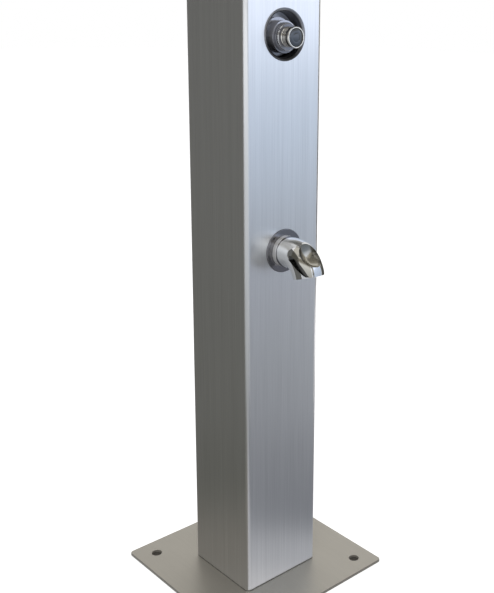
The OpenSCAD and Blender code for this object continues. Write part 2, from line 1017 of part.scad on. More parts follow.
// Spout
module spout_flange() {
    color("gray")
        on_face(spout_z)
            difference() {
                rotate_extrude()
                    polygon([[0, 0], [flange_d / 2, 0], [flange_d / 2, flange_t - flange_bevel],
                        [flange_d / 2 - flange_bevel, flange_t], [0, flange_t]]);
                translate([0, 0, -eps])
                    cylinder(d = half_inch_d + 2 * seat_gap, h = flange_t + 2 * eps);
            }
}

module spout_collar() {
    color("silver")
        on_face(spout_z)
            difference() {
                rotate_extrude()
                    polygon([[0, -tail_l], [half_inch_d / 2, -tail_l], [half_inch_d / 2, flange_t],
                        [spout_r, flange_t], [spout_r, joint_at - joint_gap],
                        [spout_r - joint_gap, joint_at], [spout_spigot_d / 2, joint_at],
                        [spout_spigot_d / 2, joint_at + spigot_out], [0, joint_at + spigot_out]]);
                translate([0, 0, -tail_l - eps])
                    cylinder(d = tail_bore_d, h = tail_l + joint_at + spigot_out + 2 * eps);
            }
}

module spout_washer() {
    color("lightgray")
        on_face(spout_z)
            translate([0, 0, -post_wall - washer_t])
                tube(washer_d, half_inch_d + 2 * seat_gap, washer_t);
}

module spout_locknut() {
    color("goldenrod")
        on_face(spout_z)
            translate([0, 0, -post_wall - washer_t - locknut_t])
                hex_nut(locknut_af, locknut_t, half_inch_d + 2 * seat_gap);
}

module spout_seal() {
    color("black")
        on_face(spout_z)
            translate([0, 0, joint_at + spigot_out])
                tube(spout_spigot_d, tail_bore_d, spout_seal_t);
}

// Round scoop in the front of the bend
module scoop() {
    translate([0, -bend_r, straight])
        rotate([90, 0, 90])
            rotate([0, 0, scoop_angle])
                translate([scoop_centre, 0, 0])
                    sphere(scoop_r);
}

// Space under a rail, seen from the side: below the arc of the rail and above a slanting line
module pocket_outline() {
    intersection() {
        translate([pocket_arc_out, -pocket_arc_drop])
            circle(pocket_arc_r);
        polygon([[pocket_start, -pocket_low], [pocket_lip_out, -pocket_lip_low],
            [pocket_far, -pocket_lip_low], [pocket_far, pocket_arc_drop],
            [pocket_start, pocket_arc_drop]]);
    }
}

// The outer form of the spout: a straight length, the bend and a short end
module spout_outer() {
    translate([0, 0, joint_at])
        cylinder(r = spout_r, h = straight - joint_at);
    bend_sweep(0, bend_angle)
        translate([bend_r, 0])
            circle(spout_r);
    spout_end()
        translate([0, 0, -mouth_l])
            cylinder(r = spout_r - mouth_step, h = 2 * mouth_l);
}

// Children stand at the end of the bend, with +Z along the flow
module spout_end() {
    translate([0, -bend_r, straight])
        rotate([bend_angle, 0, 0])
            translate([0, bend_r, 0])
                children();
}

module spout_passage() {
    translate([0, 0, joint_at])
        cylinder(d = tail_bore_d, h = straight - joint_at);
    bend_sweep(0, bend_angle)
        translate([bend_r, 0])
            circle(d = tail_bore_d);
    spout_end()
        cylinder(d = tail_bore_d, h = mouth_l + eps);
    spout_end()
        translate([0, 0, mouth_l - mouth_bore_l])
            cylinder(d = mouth_bore_d, h = mouth_bore_l + eps);
}

module spout_body() {
    socket_l = spigot_out + spout_seal_t;
    side_w = spout_r - pocket_half + eps;
    color("silver")
        on_face(spout_z)
            difference() {
                spout_outer();
                spout_passage();
                scoop();
                for (s = [-1, 1])
                    translate([s * (pocket_half + side_w / 2), 0, 0])
                        side_slab(side_w)
                            pocket_outline();
                translate([0, 0, joint_at - eps])
                    cylinder(d = spout_spigot_d + 2 * seat_gap, h = socket_l + eps);
                grub_place()
                    cylinder(d = grub_d + 2 * seat_gap, h = spout_r);
            }
}

// Children stand on the spigot at the grub screw, with +Z downward
module grub_place() {
    translate([0, 0, grub_at])
        rotate([90, 0, 0])
            children();
}

module grub_screw() {
    start = spout_spigot_d / 2;
    color("dimgray")
        on_face(spout_z)
            grub_place()
                difference() {
                    translate([0, 0, start])
                        cylinder(d = grub_d, h = spout_r - start - seat_gap);
                    translate([0, 0, spout_r - grub_key_depth])
                        cylinder(d = grub_key_d, h = grub_key_depth, $fn = 6);
                }
}

module flow_insert() {
    color("gray")
        on_face(spout_z)
            spout_end()
                translate([0, 0, mouth_l - mouth_bore_l])
                    difference() {
                        cylinder(d = mouth_bore_d - 2 * seat_gap, h = insert_t);
                        for (i = [0:jet_count - 1])
                            rotate(i * 360 / jet_count)
                                translate([jet_ring_d / 2, 0, -eps])
                                    cylinder(d = jet_d, h = insert_t + 2 * eps);
                        translate([0, 0, -eps])
                            cylinder(d = jet_d, h = insert_t + 2 * eps);
                    }
}

base_plate();
post();
top_cap();
rear_cover();
cover_gasket();
cover_screws();
rivet_nuts();
recess_cup();
cup_locknut();
valve_body();
valve_ring_nut();
valve_gasket();
bonnet();
knurled_collar();
push_button();
button_disc();
button_stem();
stem_seal();
piston();
piston_seal();
return_spring();
valve_rear_cap();
cap_seal();
inlet_elbow();
supply_hose();
hose_nuts();
stop_valve_body();
stop_valve_end();
ball_seats();
stop_ball();
stop_stem();
stop_lever();
lever_nut();
supply_pipe();
supply_nuts();
inlet_fitting();
pipe_clips();
delivery_pipe();
delivery_nuts();
spout_elbow();
spout_flange();
spout_collar();
spout_body();
spout_seal();
grub_screw();
spout_washer();
spout_locknut();
flow_insert();
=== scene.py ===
import math

import bmesh
import bpy
from mathutils import Matrix, Vector


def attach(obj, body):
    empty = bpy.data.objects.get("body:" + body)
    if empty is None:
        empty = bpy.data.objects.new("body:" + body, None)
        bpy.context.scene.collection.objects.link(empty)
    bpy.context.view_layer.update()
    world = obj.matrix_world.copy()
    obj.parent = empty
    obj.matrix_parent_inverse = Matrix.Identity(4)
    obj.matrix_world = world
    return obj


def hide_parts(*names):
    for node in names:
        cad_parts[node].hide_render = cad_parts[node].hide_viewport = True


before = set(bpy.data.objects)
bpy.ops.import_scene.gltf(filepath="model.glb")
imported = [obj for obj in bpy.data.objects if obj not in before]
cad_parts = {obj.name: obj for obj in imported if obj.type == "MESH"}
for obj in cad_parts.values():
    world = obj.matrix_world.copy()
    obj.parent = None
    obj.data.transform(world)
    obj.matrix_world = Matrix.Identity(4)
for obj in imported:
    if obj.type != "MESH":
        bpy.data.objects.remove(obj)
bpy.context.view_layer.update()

mm = 0.001
print("stage: frame loaded")

# Each piece has a dictionary of values beside its function, which reads it as c. Lengths are in
# millimetres, those of the camera and the studio in metres, and angles in degrees


# Camera, set at the photograph's own view
camera = {
    "yaw": 45.055, "pitch": 14.02, "roll": 1.522,
    "focalPixels": 887.544, "middle": (360.0, 236.277),
    "distance": 1.159274, "side": 0.138084, "height": 0.480,
    "image": (494, 593), "sensor": 36.0, "clip": (0.01, 50),
}


def makeCamera(c):
    yaw, pitch, roll = (math.radians(c[key]) for key in ("yaw", "pitch", "roll"))
    ahead = Vector((math.sin(yaw) * math.cos(pitch), math.cos(yaw) * math.cos(pitch),
                    -math.sin(pitch)))
    across = Vector((math.cos(yaw), -math.sin(yaw), 0))
    up = across.cross(ahead)
    right = math.cos(roll) * across + math.sin(roll) * up
    up = math.cos(roll) * up - math.sin(roll) * across
    place = Vector((0, 0, c["height"])) + c["side"] * across - c["distance"] * ahead
    width, height = c["image"]
    data = bpy.data.cameras.new("photoCamera")
    data.sensor_width = c["sensor"]
    data.lens = c["focalPixels"] * c["sensor"] / height
    data.shift_x = (width / 2 - c["middle"][0]) / height
    data.shift_y = (c["middle"][1] - height / 2) / height
    data.clip_start, data.clip_end = c["clip"]
    view = bpy.data.objects.new("photoCamera", data)
    turn = Matrix((right, up, -ahead)).transposed().to_4x4()
    view.matrix_world = Matrix.Translation(place) @ turn
    bpy.context.scene.collection.objects.link(view)
    bpy.context.scene.camera = view


makeCamera(camera)
print("stage: camera")


# Modelling helpers
def clearSelection():
    if bpy.context.mode != "OBJECT":
        bpy.ops.object.mode_set(mode="OBJECT")
    bpy.ops.object.select_all(action="DESELECT")


def pickPiece(piece):
    clearSelection()
    piece.select_set(True)
    bpy.context.view_layer.objects.active = piece


def settle(piece, name):
    # The piece keeps its place in its mesh, and its object goes to the origin
    piece.name = piece.data.name = name
    pickPiece(piece)
    bpy.ops.object.transform_apply(location=True, rotation=True, scale=True)
    return piece


def applyModifier(piece, kind, **values):
    pickPiece(piece)
    modifier = piece.modifiers.new(kind.lower(), kind)
    for key, value in values.items():
        setattr(modifier, key, value)
    bpy.ops.object.modifier_apply(modifier=modifier.name)


def cutWith(piece, *cutters):
    for cutter in cutters:
        applyModifier(piece, "BOOLEAN", object=cutter, operation="DIFFERENCE", solver="EXACT")
        bpy.data.objects.remove(cutter, do_unlink=True)


def fixNormals(piece, merge=0.001):
    pickPiece(piece)
    bpy.ops.object.mode_set(mode="EDIT")
    bpy.ops.mesh.select_all(action="SELECT")
    bpy.ops.mesh.remove_doubles(threshold=merge * mm)
    bpy.ops.mesh.normals_make_consistent(inside=False)
    bpy.ops.object.mode_set(mode="OBJECT")


def softenEdges(piece, width=0.0, segments=2, angle=30):
    # Rounds the edges sharper than the angle if a width is given, then shades the piece
    if width:
        applyModifier(piece, "BEVEL", width=width * mm, segments=segments, limit_method="ANGLE",
                      angle_limit=math.radians(angle))
    pickPiece(piece)
    bpy.ops.object.shade_smooth_by_angle(angle=math.radians(angle))
    applyModifier(piece, "WEIGHTED_NORMAL", keep_sharp=True, weight=70)


def pickVerts(piece, test):
    # Selects the vertices in edit mode that pass the test
    mesh = bmesh.from_edit_mesh(piece.data)
    bpy.ops.mesh.select_all(action="DESELECT")
    for vert in mesh.verts:
        vert.select = test(vert.co)
    mesh.select_flush_mode()
    bmesh.update_edit_mesh(piece.data)


def pickEdges(piece, test):
    # Selects the edges in edit mode that pass the test
    mesh = bmesh.from_edit_mesh(piece.data)
    bpy.ops.mesh.select_mode(type="EDGE")
    bpy.ops.mesh.select_all(action="DESELECT")
    for edge in mesh.edges:
        if test(edge):
            edge.select_set(True)
    bmesh.update_edit_mesh(piece.data)


def extrudeBy(move):
    bpy.ops.mesh.extrude_region_move(TRANSFORM_OT_translate={"value": move})


def around(radius, height, points):
    # Profile points given as steps from a radius and a height
    return [(radius + out, height + up) for out, up in points]


def turnOnLathe(profile, sides=128, solid=False):
    # Extrudes a circle ring by ring along a profile of (radius, height). The profile of a
    # solid piece is filled in at both ends, and any other one closes on itself
    sameHeight, sameRadius = 1e-7, 1e-6  # metres
    clearSelection()
    radius, height = profile[0]
    bpy.ops.mesh.primitive_circle_add(vertices=sides, radius=radius * mm,
                                      location=(0, 0, height * mm))
    piece = bpy.context.active_object
    bpy.ops.object.transform_apply(location=True)
    bpy.ops.object.mode_set(mode="EDIT")
    bpy.ops.mesh.select_all(action="SELECT")
    following = profile[1:] if solid else profile[1:] + profile[:1]
    for (r0, z0), (r1, z1) in zip(profile, following):
        extrudeBy((0, 0, (z1 - z0) * mm))
        bpy.ops.transform.resize(value=(r1 / r0, r1 / r0, 1), center_override=(0, 0, z1 * mm))
    for radius, height in (profile[0], profile[-1]) if solid else ():
        pickVerts(piece, lambda co: abs(co.z - height * mm) < sameHeight
                  and abs(co.xy.length - radius * mm) < sameRadius)
        extrudeBy((0, 0, 0))
        bpy.ops.mesh.merge(type="CENTER")
    bpy.ops.object.mode_set(mode="OBJECT")
    fixNormals(piece)
    return piece


def placeBar(bar, turn, place):
    # Turns a cutter about the origin, then moves it
    bar.rotation_euler = [math.radians(angle) for angle in turn]
    bar.location = [value * mm for value in place]
    pickPiece(bar)
    bpy.ops.object.transform_apply(location=True, rotation=True)
    return bar


def roundBar(radius, start, end, place, turn=(0, 0, 0), sides=96):
    # A plain cutter along its own Z between two distances
    clearSelection()
    bpy.ops.mesh.primitive_cylinder_add(vertices=sides, radius=radius * mm,
                                        depth=(end - start) * mm)
    bar = bpy.context.active_object
    bar.location = (0, 0, (start + end) / 2 * mm)
    bpy.ops.object.transform_apply(location=True)
    return placeBar(bar, turn, place)


def roundedPlate(width, height, thickness, radius, segments=14):
    # A plate on the ground plane with round upright edges
    clearSelection()
    bpy.ops.mesh.primitive_cube_add(size=1, location=(0, 0, thickness / 2 * mm))
    slab = bpy.context.active_object
    slab.scale = (width * mm, height * mm, thickness * mm)
    bpy.ops.object.transform_apply(location=True, scale=True)
    bpy.ops.object.mode_set(mode="EDIT")
    pickEdges(slab, lambda edge: abs(edge.verts[0].co.z - edge.verts[1].co.z)
              > thickness / 2 * mm)
    bpy.ops.mesh.bevel(offset=radius * mm, segments=segments, affect="EDGES",
                       clamp_overlap=False)
    bpy.ops.mesh.select_mode(type="VERT")
    bpy.ops.object.mode_set(mode="OBJECT")
    return slab


def boxBar(width, tall, radius, depth, place):
    # A round-cornered cutter that runs along Y
    return placeBar(roundedPlate(width, tall, depth, radius, segments=10), (90, 0, 0), place)


def dress(piece, finish, nodes, body="column"):
    # Gives a piece its finish, and says which nodes it stands for and what it moves with
    piece.data.materials.clear()
    piece.data.materials.append(finish)
    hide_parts(*nodes)
    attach(piece, body)


def paintFaces(piece, finish, test):
    # Gives a further finish to the faces whose middle passes the test
    piece.data.materials.append(finish)
    index = len(piece.data.materials) - 1
    for polygon in piece.data.polygons:
        if test(polygon.center / mm):
            polygon.material_index = index


# Node helpers
def feed(tree, node, inputs):
    # An input takes a plain value, or a link from a socket
    for key, value in inputs.items():
        if isinstance(value, bpy.types.NodeSocket):
            tree.links.new(value, node.inputs[key])
        else:
            node.inputs[key].default_value = value
    return node


def addNode(tree, kind, inputs, **settings):
    node = tree.nodes.new(kind)
    for key, value in settings.items():
        setattr(node, key, value)
    return feed(tree, node, inputs)


def addMath(tree, operation, *values):
    inputs = dict(enumerate(values))
    return addNode(tree, "ShaderNodeMath", inputs, operation=operation).outputs[0]


def addNoise(tree, vector, scale, detail):
    inputs = {"Vector": vector, "Scale": scale, "Detail": detail}
    return addNode(tree, "ShaderNodeTexNoise", inputs).outputs["Fac"]


def objectPlace(tree):
    return addNode(tree, "ShaderNodeTexCoord", {}).outputs["Object"]


def widestOf(tree, axes):
    # How far out of the middle a point is along one or two axes, whichever is more
    size = addNode(tree, "ShaderNodeVectorMath", {0: objectPlace(tree)}, operation="ABSOLUTE")
    split = addNode(tree, "ShaderNodeSeparateXYZ", {0: size.outputs[0]})
    return addMath(tree, "MAXIMUM", split.outputs[axes[0]], split.outputs[axes[-1]])


# Surface patterns, with the scale and the detail of each noise
grain = {"fine": (1.0, 3.0), "broad": (0.17, 2.0), "smudge": (14.0, 4.0), "broadShare": 0.35}
wear = {"cloudDetail": 5.0, "speckDetail": 2.0}
bumpDepth = 0.2


def grainPattern(group, given, place):
    # Fine drawn lines along one axis, with a slower drift of tone and smudges
    stretched = addNode(group, "ShaderNodeVectorMath", {0: place, 1: given["Across"]},
                        operation="MULTIPLY").outputs[0]
    fine = addNoise(group, stretched, *grain["fine"])
    broad = addNoise(group, stretched, *grain["broad"])
    lines = addNode(group, "ShaderNodeMix", {"Factor": grain["broadShare"], "A": fine, "B": broad})
    height = lines.outputs["Result"]
    return height, addNoise(group, place, *grain["smudge"]), height


def wearPattern(group, given, place):
    # Cloudy tone and fine specks for cast, turned and moulded pieces
    cloud = addNoise(group, place, given["Cloud Scale"], wear["cloudDetail"])
    return cloud, cloud, addNoise(group, place, given["Speck Scale"], wear["speckDetail"])


def swing(group, pattern, strength, middle):
    # Moves a value to both sides of its middle, as the pattern moves round a half
    return addMath(group, "MULTIPLY_ADD", addMath(group, "SUBTRACT", pattern, 0.5), strength, middle)


def makeGroup(name, makePattern, extra):
    # A node group that gives a colour, a roughness and a height for the bump
    group = bpy.data.node_groups.new(name, "ShaderNodeTree")
    plain = {"Base": "Color", "Contrast": "Float", "Roughness": "Float", "Spread": "Float"}
    results = {"Color": "Color", "Roughness": "Float", "Height": "Float"}
    for inOut, sockets in (("INPUT", {**plain, **extra}), ("OUTPUT", results)):
        for key, kind in sockets.items():
            group.interface.new_socket(name=key, in_out=inOut, socket_type="NodeSocket" + kind)
    given = group.nodes.new("NodeGroupInput").outputs
    tone, smear, height = makePattern(group, given, objectPlace(group))
    tint = addNode(group, "ShaderNodeVectorMath", {
        0: given["Base"], "Scale": swing(group, tone, given["Contrast"], 1.0)}, operation="SCALE")
    feed(group, group.nodes.new("NodeGroupOutput"), {
        "Color": tint.outputs[0], "Height": height,
        "Roughness": swing(group, smear, given["Spread"], given["Roughness"])})
    return group


grainGroup = makeGroup("brushedGrain", grainPattern, {"Across": "Vector"})
wearGroup = makeGroup("surfaceWear", wearPattern, {"Cloud Scale": "Float", "Speck Scale": "Float"})


# Finishes
def makeFinish(name, group, values, metallic, bump, coat=0.0, specular=0.5):
    finish = bpy.data.materials.new(name)
    finish.use_nodes = True
    tree = finish.node_tree
    pattern = addNode(tree, "ShaderNodeGroup", values, node_tree=group).outputs
    relief = addNode(tree, "ShaderNodeBump", {
        "Strength": bump, "Distance": bumpDepth * mm, "Height": pattern["Height"]})
    feed(tree, tree.nodes["Principled BSDF"], {
        "Base Color": pattern["Color"], "Roughness": pattern["Roughness"],
        "Normal": relief.outputs["Normal"], "Metallic": metallic,
        "Specular IOR Level": specular, "Coat Weight": coat})
    return finish


def brushed(base, roughness, contrast, across, bump=0.25, metallic=1.0):
    values = {"Base": (*base, 1), "Contrast": contrast, "Roughness": roughness, "Spread": 0.08,
              "Across": across}
    return {"group": grainGroup, "values": values, "metallic": metallic, "bump": bump}


def worn(base, roughness, contrast, bump, spread=0.06, metallic=1.0, **more):
    values = {"Base": (*base, 1), "Contrast": contrast, "Roughness": roughness, "Spread": spread,
              "Cloud Scale": 60.0, "Speck Scale": 900.0}
    return {"group": wearGroup, "values": values, "metallic": metallic, "bump": bump, **more}


# Base colour, roughness and contrast; brushed ones then have the lines across each axis, worn
# ones the strength of the bump
recipes = {
    "columnSteel": brushed((0.80, 0.80, 0.795), 0.30, 0.44, (1100.0, 1100.0, 9.0)),
    "coverSteel": brushed((0.64, 0.635, 0.62), 0.36, 0.30, (1000.0, 1000.0, 10.0)),
    # Painted shade: the recess cup's dark base colour stands in for the shade inside the recess
    "recessSteel": worn((0.30, 0.30, 0.315), 0.32, 0.1, 0.02, spread=0.08),
    # Painted reflection: the spout disc is a dark copy of the chrome
    "flangeSteelPaintedReflection": worn((0.22, 0.215, 0.225), 0.12, 0.08, 0.01),
    # Painted shade: the bonnet is a dark copy of the metal
    "bonnetSteelPaintedShade": worn((0.20, 0.205, 0.23), 0.20, 0.08, 0.01, metallic=0.6),
    "valveSteel": worn((0.52, 0.53, 0.58), 0.18, 0.08, 0.01, metallic=0.6),
    "collarSteel": worn((0.78, 0.78, 0.78), 0.16, 0.12, 0.03, spread=0.08),
    "lidSteel": brushed((0.66, 0.655, 0.64), 0.34, 0.30, (1100.0, 9.0, 1100.0)),
    "plateSteel": brushed((0.48, 0.452, 0.398), 0.42, 0.16, (700.0, 30.0, 700.0), bump=0.15,
                          metallic=0.6),
    "chrome": worn((0.76, 0.76, 0.76), 0.06, 0.04, 0.01, spread=0.05),
    # Painted reflection and shade: darker copies of the spout's chrome for its scoop, rails and
    # pockets
    "scoopChrome": worn((0.60, 0.57, 0.50), 0.20, 0.06, 0.02),
    "railChromePaintedReflection": worn((0.46, 0.44, 0.39), 0.12, 0.06, 0.02),
    "pocketChromePaintedShade": worn((0.10, 0.10, 0.095), 0.22, 0.1, 0.02, spread=0.08),
    # Painted highlight: the spout collar is a brighter copy of the chrome, partly lit like paint
    "brightChromePaintedHighlight": worn((0.86, 0.86, 0.85), 0.14, 0.04, 0.01, spread=0.05, metallic=0.5),
    # Painted reflection: the button face is chrome darkened to stand in for the dark surroundings it
    # reflects
    "darkChromePaintedReflection": worn((0.10, 0.105, 0.11), 0.10, 0.1, 0.02, spread=0.08),
    "satinCap": worn((0.74, 0.71, 0.65), 0.20, 0.12, 0.05, spread=0.1),
    "brass": worn((0.62, 0.46, 0.22), 0.28, 0.25, 0.08, spread=0.2),
    "brightSteel": worn((0.62, 0.62, 0.62), 0.25, 0.12, 0.05, spread=0.12),
    "rubber": worn((0.025, 0.025, 0.026), 0.62, 0.3, 0.2, metallic=0.0, specular=0.35),
    "whitePlastic": worn((0.80, 0.79, 0.76), 0.42, 0.05, 0.05, metallic=0.0),
    "greyPlastic": worn((0.12, 0.12, 0.125), 0.45, 0.15, 0.08, metallic=0.0),
    "redPaint": worn((0.45, 0.02, 0.015), 0.3, 0.15, 0.06, metallic=0.0, coat=0.4),
    "braid": brushed((0.55, 0.55, 0.55), 0.35, 0.8, (900.0, 900.0, 900.0), bump=0.8),
}
finishes = {name: makeFinish(name, **recipe) for name, recipe in recipes.items()}

# Painted shade, where a finish gets darker: its axes, the start and the end of the change, and
# the share of the colour that is left past the end
shades = (
    # Painted shade on the plate's edges, in a line at the column's foot, on the lower valve and
    # recess, and on the scoop's top and outer sides
    ("plateSteel", "XY", 127.15, 127.25, 0.35), ("columnSteel", "Z", 5.05, 4.95, 0.25),
    ("valveSteel", "Z", 735.0, 723.0, 0.35), ("recessSteel", "Z", 732.0, 716.0, 0.3),
    ("scoopChrome", "Z", 470.0, 478.0, 0.4), ("scoopChrome", "X", 7.0, 12.0, 0.2),
)


def paintShadeOnFinish(finish, axes, start, end, share):
    # Paints the shade: puts the darkening between the pattern and the base colour
    tree = finish.node_tree
    base = tree.nodes["Principled BSDF"].inputs["Base Color"]
    past = addNode(tree, "ShaderNodeMapRange", {
        "Value": widestOf(tree, axes), "From Min": start * mm, "From Max": end * mm})
    tint = addNode(tree, "ShaderNodeMix", {
        0: past.outputs[0], 6: base.links[0].from_socket, 7: (share, share, share, 1)},
        data_type="RGBA", blend_type="MULTIPLY")
    tree.links.new(tint.outputs[2], base)


for finishName, *shade in shades:
    paintShadeOnFinish(finishes[finishName], *shade)
print("stage: finishes")


# Column: a square tube with round corners, cut for the recess, the spout and the service opening
column = {
    "width": 120.0, "radius": 7.0, "wall": 2.0, "foot": 4.0, "top": 998.0, "edge": 0.35,
    "recess": {"height": 735.5, "radius": 28.55}, "spout": {"height": 469.5, "radius": 10.75},
    "service": {"height": 610.0, "width": 76.0, "tall": 340.0, "radius": 10.0},
    "rivets": {"across": 44.0, "rows": (-158.0, 0.0, 158.0), "radius": 3.55},
    "overrun": 10.0, "reach": 6.0,  # how far the cutters pass the ends and the faces
}
faceY = -column["width"] / 2
rivetPlaces = [(side * column["rivets"]["across"], row)
               for side in (-1, 1) for row in column["rivets"]["rows"]]


def wallHole(c, radius, place, sides):
    # A round cutter through one wall
    return roundBar(radius, -c["reach"], c["reach"], place, (90, 0, 0), sides=sides)


def makeColumn(c):
    recessHole, spoutHole, service = c["recess"], c["spout"], c["service"]
    tall, inner = c["top"] - c["foot"], c["width"] - 2 * c["wall"]
    shell = roundedPlate(c["width"], c["width"], tall, c["radius"])
    inside = roundedPlate(inner, inner, tall + 2 * c["overrun"], c["radius"] - c["wall"])
    inside.location = (0, 0, -c["overrun"] * mm)
    settle(inside, "inside")
    middle = service["height"] - c["foot"]
    cutWith(
        shell, inside,
        wallHole(c, recessHole["radius"], (0, faceY, recessHole["height"] - c["foot"]), sides=128),
        wallHole(c, spoutHole["radius"], (0, faceY, spoutHole["height"] - c["foot"]), sides=64),
        boxBar(service["width"], service["tall"], service["radius"], 2 * c["reach"],
               (0, -faceY + c["reach"], middle)),
        *(wallHole(c, c["rivets"]["radius"], (across, -faceY, middle + row), sides=32)
          for across, row in rivetPlaces))
    shell.location = (0, 0, c["foot"] * mm)
    settle(shell, "columnShell")
    softenEdges(shell, width=c["edge"], angle=40)
    dress(shell, finishes["columnSteel"], nodes=("post",))


makeColumn(column)


# Lid welded into the top of the column
lid = {"thickness": 2.0, "skirt": 115.4, "skirtHeight": 12.0, "skirtWall": 2.0, "edge": 0.7}


def makeLid(c):
    sheet = roundedPlate(column["width"], column["width"], c["thickness"], column["radius"])
    bpy.ops.object.mode_set(mode="EDIT")
    pickVerts(sheet, lambda co: co.z < c["thickness"] / 2 * mm)
    bpy.ops.mesh.inset(thickness=(column["width"] - c["skirt"]) / 2 * mm)
    extrudeBy((0, 0, -c["skirtHeight"] * mm))
    bpy.ops.mesh.inset(thickness=c["skirtWall"] * mm)
    extrudeBy((0, 0, c["skirtHeight"] * mm))
    bpy.ops.object.mode_set(mode="OBJECT")
    sheet.location = (0, 0, column["top"] * mm)
    settle(sheet, "columnLid")
    fixNormals(sheet)
    softenEdges(sheet, width=c["edge"], segments=3, angle=40)
    dress(sheet, finishes["lidSteel"], nodes=("top_cap",))


makeLid(lid)


# Base plate with its anchor holes
plate = {"width": 255.0, "thickness": 4.0, "radius": 5.0, "hole": 7.0, "spacing": 200.0,
         "entry": 45.0, "edge": 0.45, "cut": (-5, 10)}


def makePlate(c):
    sheet = roundedPlate(c["width"], c["width"], c["thickness"], c["radius"], segments=10)
    half = c["spacing"] / 2
    holes = [roundBar(c["hole"], *c["cut"], (x, y, 0), sides=64)
             for x in (-half, half) for y in (-half, half)]
    cutWith(sheet, roundBar(c["entry"], *c["cut"], (0, 0, 0), sides=160), *holes)
    settle(sheet, "basePlate")
    softenEdges(sheet, width=c["edge"], segments=3, angle=40)
    dress(sheet, finishes["plateSteel"], nodes=("base_plate",))


makePlate(plate)


# Cover of the service opening and its screws
cover = {"width": 100.0, "tall": 364.0, "thickness": 1.5, "radius": 14.0, "from": 61.0,
         "hole": 2.75, "edge": 0.4, "cut": (-3, 5)}
screw = {
    "head": 4.75, "reach": 11.0, "shank": 2.5, "socket": 1.95, "socketFrom": 1.2,
    "socketTo": 4.8, "edge": 0.12,
    # The head as pairs of a share of its radius and a height
    "dome": ((1.0, 0.7), (0.93, 1.5), (0.78, 2.2), (0.6, 2.688), (0.48, 2.8)),
}


def makeCover(c):
    sheet = roundedPlate(c["width"], c["tall"], c["thickness"], c["radius"])
    cutWith(sheet, *(roundBar(c["hole"], *c["cut"], (across, row, 0), sides=48)
                     for across, row in rivetPlaces))
    sheet.rotation_euler = (math.radians(-90), 0, 0)
    sheet.location = (0, c["from"] * mm, column["service"]["height"] * mm)
    settle(sheet, "rearCover")
    softenEdges(sheet, width=c["edge"], segments=3, angle=40)
    dress(sheet, finishes["coverSteel"], nodes=("rear_cover",))


def makeScrews(c):
    profile = [(c["shank"], -c["reach"]), (c["shank"], 0), (c["head"], 0)]
    profile += [(c["head"] * share, height) for share, height in c["dome"]]
    first = turnOnLathe(profile, sides=48, solid=True)
    cutWith(first, roundBar(c["socket"], c["socketFrom"], c["socketTo"], (0, 0, 0), sides=6))
    softenEdges(first, width=c["edge"], angle=35)
    copies = []
    for across, row in rivetPlaces:
        copy = first.copy()
        copy.data = first.data.copy()
        bpy.context.scene.collection.objects.link(copy)
        copy.rotation_euler = (math.radians(-90), 0, 0)
        copy.location = (across * mm, (cover["from"] + cover["thickness"]) * mm,
                         (column["service"]["height"] + row) * mm)
        copies.append(copy)
    bpy.data.objects.remove(first, do_unlink=True)
    clearSelection()
    for copy in copies:
        copy.select_set(True)
    bpy.context.view_layer.objects.active = copies[0]
    bpy.ops.object.transform_apply(location=True, rotation=True)
    bpy.ops.object.join()
    group = settle(bpy.context.active_object, "coverScrews")
    dress(group, finishes["brightSteel"], nodes=("cover_screws",))


makeCover(cover)
makeScrews(screw)
print("stage: column, plate and cover")


# Recess and the front of the valve, all turned pieces. Heights are out of the face of the
# column, and rows of pairs are profile points as steps from a radius and a height
def standOnFace(piece, height):
    # Turns a lathe piece so that its own Z looks out of the front face
    piece.rotation_euler = (math.radians(90), 0, 0)
    piece.location = (0, faceY * mm, height * mm)
    return piece


recess = {
    "bore": 27.2, "wall": 28.5, "rim": 31.25, "depth": 18.0, "floor": 1.5, "hole": 19.3,
    "drop": 2.6, "cut": (-2, 4),
    "lip": ((0, 0.6), (-0.12, 1.0), (-0.4, 1.2), (-0.9, 1.1), (-1.7, 0.75), (-2.4, 0.3)),
    "throat": ((1.0, -0.2), (0.5, -0.9), (0.15, -1.8), (0, -3)),
    "foot": ((0, 1.5), (-0.5, 0.45), (-1.6, 0)),
}
valveHeight = column["recess"]["height"] - recess["drop"]


def makeRecess(c):
    back = -c["depth"] - c["floor"]
    profile = [(c["wall"], back), (c["wall"], 0), (c["rim"], 0)] + around(c["rim"], 0, c["lip"])
    profile += around(c["bore"], 0, c["throat"]) + around(c["bore"], -c["depth"], c["foot"])
    cup = turnOnLathe(profile, sides=160, solid=True)
    start, end = c["cut"]
    cutWith(cup, roundBar(c["hole"], back + start, -c["depth"] + end, (0, -c["drop"], 0),
                          sides=128))
    settle(standOnFace(cup, column["recess"]["height"]), "recessCup")
    softenEdges(cup, angle=40)
    dress(cup, finishes["recessSteel"], nodes=("recess_cup",))


bonnet = {
    "flange": 17.0, "flangeOut": 3.0, "boss": 14.2, "bossOut": 6.0, "well": 12.3,
    "wellFloor": -1.8, "spigot": 10.1, "spigotOut": 8.92, "bore": 4.1, "thread": 15.5,
    "threadIn": -8.0, "edge": 0.4,
    "groove": ((0, 0.9), (-0.55, 1.15), (-0.55, 1.55), (0, 1.8)),
}


def makeBonnet(c):
    ring = turnOnLathe([
        (c["bore"], c["threadIn"]), (c["thread"], c["threadIn"]), (c["thread"], 0),
        (c["flange"], 0), *around(c["flange"], 0, c["groove"]),
        (c["flange"], c["flangeOut"] - c["edge"]), (c["flange"] - c["edge"], c["flangeOut"]),
        (c["boss"], c["flangeOut"]), (c["boss"], c["bossOut"]), (c["well"], c["bossOut"]),
        (c["well"], c["wellFloor"]), (c["spigot"], c["wellFloor"]),
        (c["spigot"], c["spigotOut"]), (c["bore"], c["spigotOut"])])
    settle(standOnFace(ring, valveHeight), "bonnetRing")
    softenEdges(ring)
    dress(ring, finishes["bonnetSteelPaintedShade"], nodes=("bonnet",))


